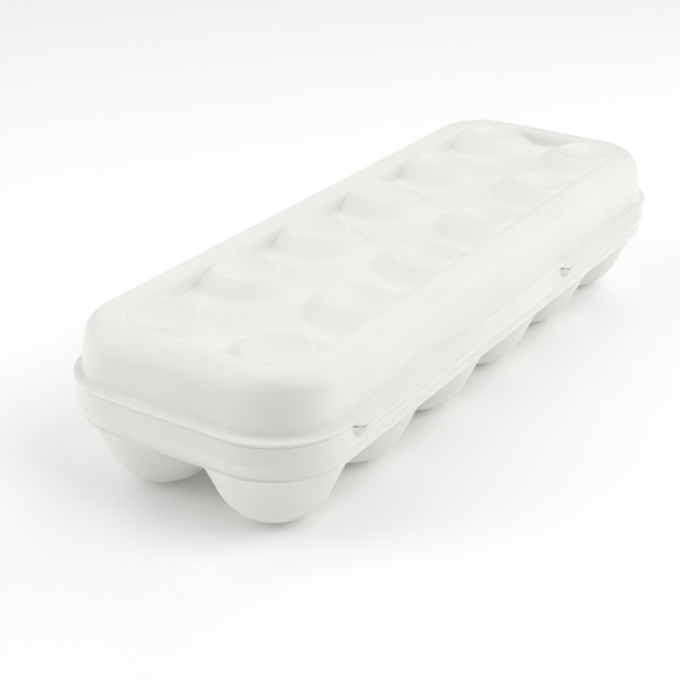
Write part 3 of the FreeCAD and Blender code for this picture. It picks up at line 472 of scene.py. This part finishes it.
def make_cup(name, column, row):
    """One egg cup: its outside and its inside are heights over a polar grid that ends on the lines midway to
    the next cups and on the tray's outline; each is the least of this cup's bowl, the next cups' bowls and
    the floor, rounded where they meet."""
    sector_steps, ring_count, halvings, first_share, edge_gap = 28, 40, 40, 0.06, 0.35
    centre_x = (column - (CUP_COLUMNS - 1) / 2) * PITCH_X
    centre_y = (row - (CUP_ROWS - 1) / 2) * PITCH_Y
    corner = math.atan2(PITCH_Y, PITCH_X)
    marks = np.array([-corner, corner, math.pi - corner, math.pi + corner, 2 * math.pi - corner])
    angle = np.concatenate([np.linspace(low, high, sector_steps, endpoint=False)
                            for low, high in zip(marks[:-1], marks[1:])])
    cosine, sine = np.cos(angle), np.sin(angle)
    # The cell ends midway to each next cup; where there is none, the tray's outline is nearer
    gaps = [(cosine, PITCH_X / 2, column < CUP_COLUMNS - 1), (-cosine, PITCH_X / 2, column > 0),
            (sine, PITCH_Y / 2, row < CUP_ROWS - 1), (-sine, PITCH_Y / 2, row > 0)]
    reach = np.full(angle.shape, PITCH_X + PITCH_Y)
    for towards, half_pitch, has_next in gaps:
        if has_next:
            reach = np.minimum(reach, np.where(towards > MM, half_pitch / np.maximum(towards, MM), reach))
    tray_inset = LOWER_INSET + edge_gap
    low, high = np.zeros(angle.shape), reach
    for _ in range(halvings):
        middle = (low + high) / 2
        inside = rounded_rectangle_depth(centre_x + middle * cosine, centre_y + middle * sine,
                                         BOX_LENGTH / 2 - tray_inset, BOX_WIDTH / 2 - tray_inset,
                                         CORNER_RADIUS - tray_inset) > 0
        low, high = np.where(inside, middle, low), np.where(inside, high, middle)
    shares = np.linspace(first_share, 1, ring_count)[:, None]
    across, along = shares * low * cosine, shares * low * sine
    bowl_centre = math.sqrt(BOWL_RADIUS ** 2 - FOOT_RADIUS ** 2)
    next_cups = [(0, 0)]
    next_cups += [(PITCH_X, 0)] if column < CUP_COLUMNS - 1 else []
    next_cups += [(-PITCH_X, 0)] if column > 0 else []
    next_cups += [(0, PITCH_Y if row == 0 else -PITCH_Y)]

    def surface(belly, bottom, mouth_radius, mouth_height):
        height = np.full(across.shape, mouth_height)
        for offset_x, offset_y in next_cups:
            radius = np.hypot(across - offset_x, along - offset_y)
            bowl = bowl_height(radius, belly, bowl_centre, bottom, mouth_radius, mouth_height)
            height = smooth_minimum(height, bowl, FLOOR_BLEND if offset_x == offset_y == 0 else CUP_BLEND)
        height = np.maximum(height, bottom)
        return np.stack([centre_x + across, centre_y + along, height], axis=-1)

    outside = surface(BOWL_RADIUS, 0.0, MOUTH_RADIUS, FLOOR_UNDER)
    inside = surface(BOWL_RADIUS - CUP_WALL, CUP_WALL, MOUTH_RADIUS - MOUTH_WALL, FLOOR_TOP)
    count = len(angle)
    points = np.concatenate([outside.reshape(-1, 3), inside[::-1].reshape(-1, 3)])
    walls = loops(2 * ring_count, count)
    inner = np.arange(len(walls)) >= ring_count * count
    faces = walls.tolist()
    faces.append(np.arange(count)[::-1].tolist())
    faces.append((len(points) - count + np.arange(count)).tolist())
    make_piece(name + "_shell", points, faces, "base", [OUTSIDE, INSIDE],
               np.concatenate([inner, [0, 1]]), [name])


def block(outer, inner, low_x, high_x, steps):
    """A closed strip between two lines of points (y, z) of equal number, carried along X."""
    count = len(outer)
    loop = np.concatenate([outer, inner[::-1]])
    places = np.linspace(low_x, high_x, steps + 1)
    points = np.concatenate([np.column_stack([np.full(len(loop), place), loop]) for place in places])
    faces = loops(steps + 1, len(loop)).tolist()
    numbers = np.arange(count)
    opposite = 2 * count - 1 - numbers[:-1]
    cap = np.stack([numbers[:-1], numbers[1:], opposite - 1, opposite], axis=1)
    last = steps * len(loop)
    return points, faces + cap[:, ::-1].tolist() + (last + cap).tolist()


def add_bevel(piece, width, segments=2):
    """Rounds the sharp edges of a piece by a width in millimetres."""
    bevel = piece.modifiers.new("moulded_edges", "BEVEL")
    bevel.width = width * MM
    bevel.segments = segments
    bevel.limit_method = "ANGLE"
    bevel.harden_normals = False


def make_leaves():
    """Hinge leaves: they run from the lid's hollow or the rim out to the fold, along a quarter of an ellipse
    whose sine and cosine are raised to a flatness. At both ends they ramp down into the box's side, and their
    edges run up to the seam there, by the smooth step 3 u^2 - 2 u^3 of the share u of the ramp. The slit
    between them opens in a small notch on each ramp, and to the film's height where the ramp ends."""
    turn_points, ramp_points, middle_points = 13, 13, 17
    turns = np.linspace(0, math.pi / 2, turn_points)
    ramp = np.linspace(0, RAMP_LENGTH, ramp_points)
    for side, low_x, high_x in (("left", -HINGE_OUTER_END, -HINGE_INNER_END),
                                ("right", HINGE_INNER_END, HINGE_OUTER_END)):
        low_x, high_x = low_x - RAMP_LEAD, high_x + RAMP_LEAD
        middle = np.linspace(low_x + RAMP_LENGTH, high_x - RAMP_LENGTH, middle_points)[1:-1]
        places = np.concatenate([low_x + ramp, middle, high_x - ramp[::-1]])[:, None]
        way_in = np.clip(np.minimum(places - low_x, high_x - places) / RAMP_LENGTH, 0, 1)
        share = way_in ** 2 * (3 - 2 * way_in)
        sunk_y = RAMP_SINK - BOX_WIDTH / 2
        fold_y = sunk_y + (FOLD_Y + FILM_BULGE - sunk_y) * share
        lid_edge = SEAM + (FOLD_Z + FILM_HEIGHT / 2 - SEAM) * share
        notch = RAMP_NOTCH * np.exp(-((way_in - NOTCH_PLACE) / NOTCH_SPREAD) ** 2)
        slit = RAMP_SLIT + notch + (FILM_HEIGHT - RAMP_SLIT) * share ** SLIT_POWER
        lid_leaf = ("lid", 1, lid_edge, LID_LEAF_ROOT, LID_LEAF_CROWN, LID_LEAF_FLATNESS)
        rim_edge = lid_edge - slit
        rim_crown = rim_edge - LEAF_THICKNESS + (RIM_LEAF_CROWN - rim_edge + LEAF_THICKNESS) * share
        rim_leaf = ("base", -1, rim_edge, RIM_LEAF_ROOT, rim_crown, RIM_LEAF_FLATNESS)
        for body, way, edge_z, root_y, crown_z, flatness in (lid_leaf, rim_leaf):
            out, rise = np.sin(turns) ** flatness, np.maximum(np.cos(turns), 0) ** flatness
            lines = []
            for wall in (0, LEAF_THICKNESS):
                y = root_y - (root_y - fold_y - wall) * out
                z = edge_z + (crown_z - edge_z - way * wall) * rise
                lines.append(np.stack([y, z], axis=-1))
            outer, inner = lines if way > 0 else lines[::-1]
            section = np.concatenate([outer, inner[:, ::-1]], axis=1)
            across = np.broadcast_to(places[..., None], (*section.shape[:2], 1))
            points = np.concatenate([across, section], axis=-1).reshape(-1, 3)
            count = section.shape[1]
            faces = loops(len(places), count).tolist()
            faces.append(np.arange(count)[::-1].tolist())
            faces.append((len(points) - count + np.arange(count)).tolist())
            leaf = make_piece(f"{body}_hinge_leaf_{side}", points, faces, body, [OUTSIDE])
            add_bevel(leaf, LEAF_BEVEL)


def make_films():
    """The films: thin straight strips that bulge at the fold, in short steps across it."""
    fold_points, hinge_steps, clasp_steps = 9, 20, 12
    shares = np.linspace(-1, 1, fold_points)
    edges = FOLD_Z + shares * FILM_HEIGHT / 2
    outer = np.column_stack([FOLD_Y + FILM_BULGE * shares ** 2, edges])
    inner = outer + (FILM_THICKNESS, 0)
    for side, low_x, high_x in (("left", -HINGE_OUTER_END, -HINGE_INNER_END),
                                ("right", HINGE_INNER_END, HINGE_OUTER_END)):
        run_in = RAMP_LENGTH - RAMP_LEAD - FILM_HEIGHT
        points, faces = block(inner, outer, low_x + run_in, high_x - run_in, hinge_steps)
        film = make_piece(f"hinge_film_{side}", points, faces, None, [FILM],
                          nodes=[f"hinge_web_{side}"])
        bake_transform(film)
    edges = np.linspace(BOX_WIDTH / 2, CLASP_INNER_Y, fold_points)
    lower = np.column_stack([edges, np.full(len(edges), CLASP_FOLD_Z - CLASP_FILM_THICKNESS / 2)])
    upper = lower + (0, CLASP_FILM_THICKNESS)
    points, faces = block(lower, upper, -CLASP_HALF_WIDTH, CLASP_HALF_WIDTH, clasp_steps)
    film = make_piece("clasp_film", points, faces, None, [FILM], nodes=["clasp_web"])
    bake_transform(film)


def make_clasp():
    """The clasp: a flat tongue whose lower corners are round, lofted from its back face to its front face
    with a small round at each edge, and a wedge-shaped hook on its back; and the rib on the rim."""
    corner_steps, edge_points = 10, 5
    corners = [(-CLASP_HALF_WIDTH, CLASP_LOW, CLASP_CORNER), (CLASP_HALF_WIDTH, CLASP_LOW, CLASP_CORNER),
               (CLASP_HALF_WIDTH, CLASP_HIGH, MOULD_EDGE), (-CLASP_HALF_WIDTH, CLASP_HIGH, MOULD_EDGE)]
    outline = rounded_path(corners, closed=True, arc_steps=corner_steps)
    middle = np.array([0, (CLASP_LOW + CLASP_HIGH) / 2])
    span = np.array([CLASP_HALF_WIDTH, (CLASP_HIGH - CLASP_LOW) / 2])
    turns = np.linspace(0, math.pi / 2, edge_points)
    insets = CLASP_EDGE * (1 - np.sin(turns))
    depths = CLASP_EDGE * (1 - np.cos(turns))
    back_edge = list(zip(insets, CLASP_INNER_Y + depths))
    front_edge = list(zip(insets, CLASP_OUTER_Y - depths))
    rings = []
    for inset, place in back_edge + front_edge[::-1]:
        drawn_in = middle + (outline - middle) * (1 - inset / span)
        rings.append(np.column_stack([drawn_in[:, 0], np.full(len(outline), place), drawn_in[:, 1]]))
    count = len(outline)
    points = np.concatenate(rings)
    faces = loops(len(rings), count)[:, ::-1].tolist()
    faces.append(np.arange(count).tolist())
    faces.append((len(points) - count + np.arange(count))[::-1].tolist())
    make_piece("front_clasp_tongue", points, faces, "clasp", [OUTSIDE], nodes=["front_clasp"])
    root_y = CLASP_INNER_Y + CLASP_EDGE
    hook_points, hook_faces = block(
        np.array([(root_y, HOOK_HIGH), (HOOK_Y, HOOK_HIGH)]),
        np.array([(root_y, HOOK_LOW), (CLASP_INNER_Y, HOOK_LOW)]),
        CLASP_CORNER - CLASP_HALF_WIDTH, CLASP_HALF_WIDTH - CLASP_CORNER, 1)
    hook = make_piece("clasp_hook", hook_points, hook_faces, "clasp", [OUTSIDE])
    rib_points, rib_faces = block(
        np.array([(BOX_WIDTH / 2, CATCH_HIGH), (CATCH_ROOT_Y, CATCH_HIGH)]),
        np.array([(CATCH_Y, CATCH_LOW), (CATCH_ROOT_Y, CATCH_LOW)]), -CLASP_HALF_WIDTH, CLASP_HALF_WIDTH, 1)
    rib = make_piece("clasp_catch_rib", rib_points, rib_faces, "base", [OUTSIDE])
    add_bevel(hook, CLASP_BEVEL)
    add_bevel(rib, CLASP_BEVEL)


def make_stage():
    """A plain pale floor, a faint light all round behind which the camera sees a pale room, and softboxes."""
    paper_roughness = 0.9
    floor_mesh = bpy.data.meshes.new("floor")
    corners = [(-FLOOR_REACH, -FLOOR_REACH, 0), (FLOOR_REACH, -FLOOR_REACH, 0),
               (FLOOR_REACH, FLOOR_REACH, 0), (-FLOOR_REACH, FLOOR_REACH, 0)]
    floor_mesh.from_pydata(corners, [], [(0, 1, 2, 3)])
    floor = bpy.data.objects.new("floor", floor_mesh)
    bpy.context.collection.objects.link(floor)
    paper = bpy.data.materials.new("white_paper_sweep")
    paper.use_nodes = True
    shader = paper.node_tree.nodes["Principled BSDF"]
    shader.inputs["Base Color"].default_value = linear_colour("#F7F7F7")
    shader.inputs["Roughness"].default_value = paper_roughness
    shader.inputs["Emission Color"].default_value = linear_colour("#FFFFFF")
    tree = paper.node_tree
    place = add_node(tree, "ShaderNodeTexCoord").outputs["Object"]
    distance = add_node(tree, "ShaderNodeVectorMath", [(0, place)], operation="LENGTH").outputs["Value"]
    glow = add_node(tree, "ShaderNodeMapRange", [("Value", distance)], interpolation_type="SMOOTHSTEP")
    glow.inputs["From Min"].default_value = GLOW_FROM
    glow.inputs["From Max"].default_value = GLOW_TO
    glow.inputs["To Min"].default_value = FLOOR_GLOW
    glow.inputs["To Max"].default_value = FAR_GLOW
    tree.links.new(shader.inputs["Emission Strength"], glow.outputs["Result"])
    floor_mesh.materials.append(paper)
    world = bpy.data.worlds.new("soft_studio")
    world.use_nodes = True
    background = world.node_tree.nodes["Background"]
    background.inputs["Color"].default_value = linear_colour("#FFFFFF")
    sight = add_node(world.node_tree, "ShaderNodeLightPath").outputs["Is Camera Ray"]
    strength = add_node(world.node_tree, "ShaderNodeMapRange", [("Value", sight)])
    strength.inputs["To Min"].default_value = ROOM_LIGHT
    strength.inputs["To Max"].default_value = BACKDROP
    world.node_tree.links.new(background.inputs["Strength"], strength.outputs["Result"])
    bpy.context.scene.world = world
    bpy.context.scene.view_settings.view_transform = "Standard"
    for name, (azimuth, elevation, power) in SOFTBOXES.items():
        light = bpy.data.lights.new(name, "AREA")
        light.size = SOFTBOX_SIZE
        light.energy = power
        lamp = bpy.data.objects.new(name, light)
        bpy.context.collection.objects.link(lamp)
        turn, rise = math.radians(azimuth), math.radians(elevation)
        back = np.array([math.cos(turn) * math.cos(rise), math.sin(turn) * math.cos(rise), math.sin(rise)])
        lamp.location = SOFTBOX_DISTANCE * back
        turn_towards(lamp, back)


def turn_towards(thing, back, roll=0.0):
    """Turns a lamp or a camera so that its own Z axis lies along a direction, with its Y axis upwards, and
    then about that direction by a roll."""
    back = back / np.linalg.norm(back)
    right = np.cross((0, 0, 1), back)
    right = right / np.linalg.norm(right)
    up = np.cross(back, right)
    rolled_right = math.cos(roll) * right + math.sin(roll) * up
    rolled_up = math.cos(roll) * up - math.sin(roll) * right
    turned = Matrix(np.column_stack([rolled_right, rolled_up, back]).tolist())
    thing.rotation_euler = turned.to_euler()


def make_camera():
    """The photograph's viewpoint, from fitting the box's outline: near the -X end, above the hinge side."""
    azimuth, elevation, distance, roll = math.radians(-56.91), math.radians(26.02), 589.3, math.radians(0.14)
    target = np.array([-25.75, 10.65, 19.1])
    focal_pixels, frame_pixels, sensor_mm, nearest = 1457.6, 680, 36.0, 0.01
    back = np.array([math.sin(azimuth) * math.cos(elevation), -math.cos(azimuth) * math.cos(elevation),
                     math.sin(elevation)])
    lens = bpy.data.cameras.new("photograph_view")
    lens.sensor_width = sensor_mm
    lens.lens = sensor_mm * focal_pixels / frame_pixels
    lens.clip_start = nearest
    camera = bpy.data.objects.new("photograph_view", lens)
    bpy.context.collection.objects.link(camera)
    camera.location = (target + back * distance) * MM
    turn_towards(camera, back, roll)
    bpy.context.scene.camera = camera


make_lid()
make_rim()
for row, row_name in enumerate(("hinge", "front")):
    for column in range(CUP_COLUMNS):
        make_cup(f"egg_cup_{row_name}_{column + 1}", column, row)
make_leaves()
make_films()
make_clasp()
make_stage()
make_camera()
